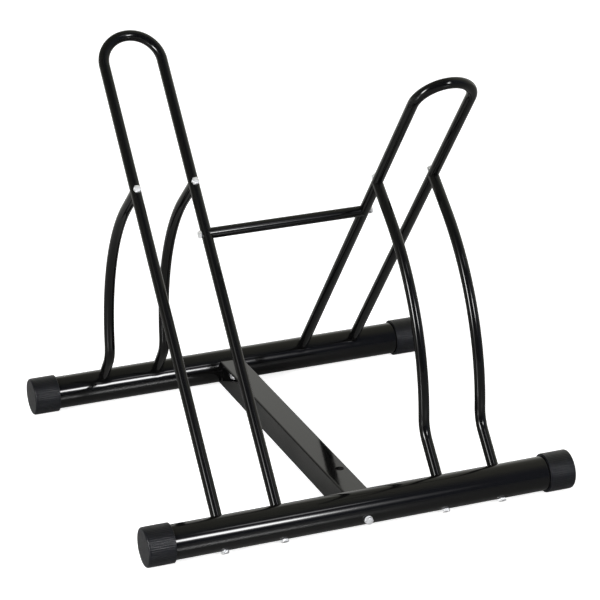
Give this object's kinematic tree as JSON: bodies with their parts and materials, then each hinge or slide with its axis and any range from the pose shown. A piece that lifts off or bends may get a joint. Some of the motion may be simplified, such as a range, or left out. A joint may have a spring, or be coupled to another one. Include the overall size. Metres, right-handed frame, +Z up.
{
  "type": "floor bike rack",
  "caption": "Bolted tubular floor rack: two base tubes, a folded cross member, and leaning loops with curved arms that hold bicycle wheels between their legs.",
  "frame": {"origin": "on the floor, under the middle of the rack", "axes": "+X along the base tubes, to the right seen from the front; +Y from the front base tube to the rear one; +Z up"},
  "size_m": [0.646, 0.6216, 0.6164],
  "materials": {
    "frame_gloss": "gloss black powder coat on steel tube",
    "sheet_gloss": "gloss black powder coat on folded steel sheet",
    "end_cap": "satin black moulded cap with fine lengthwise ribs",
    "zinc": "bright zinc plating"
  },
  "bodies": {
    "root": {"front_base_tube": "frame_gloss", "rear_base_tube": "frame_gloss", "front_left_cap": "end_cap", "front_right_cap": "end_cap", "rear_left_cap": "end_cap", "rear_right_cap": "end_cap", "left_wheel_loop": "frame_gloss", "right_wheel_loop": "frame_gloss", "left_inner_arm": "frame_gloss", "left_outer_arm": "frame_gloss", "right_inner_arm": "frame_gloss", "right_outer_arm": "frame_gloss", "cross_bar": "frame_gloss", "cross_member": "sheet_gloss", "left_loop_inner_foot_bolt": "zinc", "left_loop_inner_foot_insert": "zinc", "left_loop_outer_foot_bolt": "zinc", "left_loop_outer_foot_insert": "zinc", "right_loop_inner_foot_bolt": "zinc", "right_loop_inner_foot_insert": "zinc", "right_loop_outer_foot_bolt": "zinc", "right_loop_outer_foot_insert": "zinc", "left_inner_arm_foot_bolt": "zinc", "left_inner_arm_foot_insert": "zinc", "left_inner_arm_top_bolt": "zinc", "left_inner_arm_top_insert": "zinc", "left_outer_arm_foot_bolt": "zinc", "left_outer_arm_foot_insert": "zinc", "left_outer_arm_top_bolt": "zinc", "left_outer_arm_top_insert": "zinc", "right_inner_arm_foot_bolt": "zinc", "right_inner_arm_foot_insert": "zinc", "right_inner_arm_top_bolt": "zinc", "right_inner_arm_top_insert": "zinc", "right_outer_arm_foot_bolt": "zinc", "right_outer_arm_foot_insert": "zinc", "right_outer_arm_top_bolt": "zinc", "right_outer_arm_top_insert": "zinc", "cross_bar_left_bolt": "zinc", "cross_bar_left_insert": "zinc", "cross_bar_right_bolt": "zinc", "cross_bar_right_insert": "zinc", "channel_front_bolt": "zinc", "channel_front_washer": "zinc", "channel_front_nut": "zinc", "channel_rear_bolt": "zinc", "channel_rear_washer": "zinc", "channel_rear_nut": "zinc"}
  },
  "joints": []
}
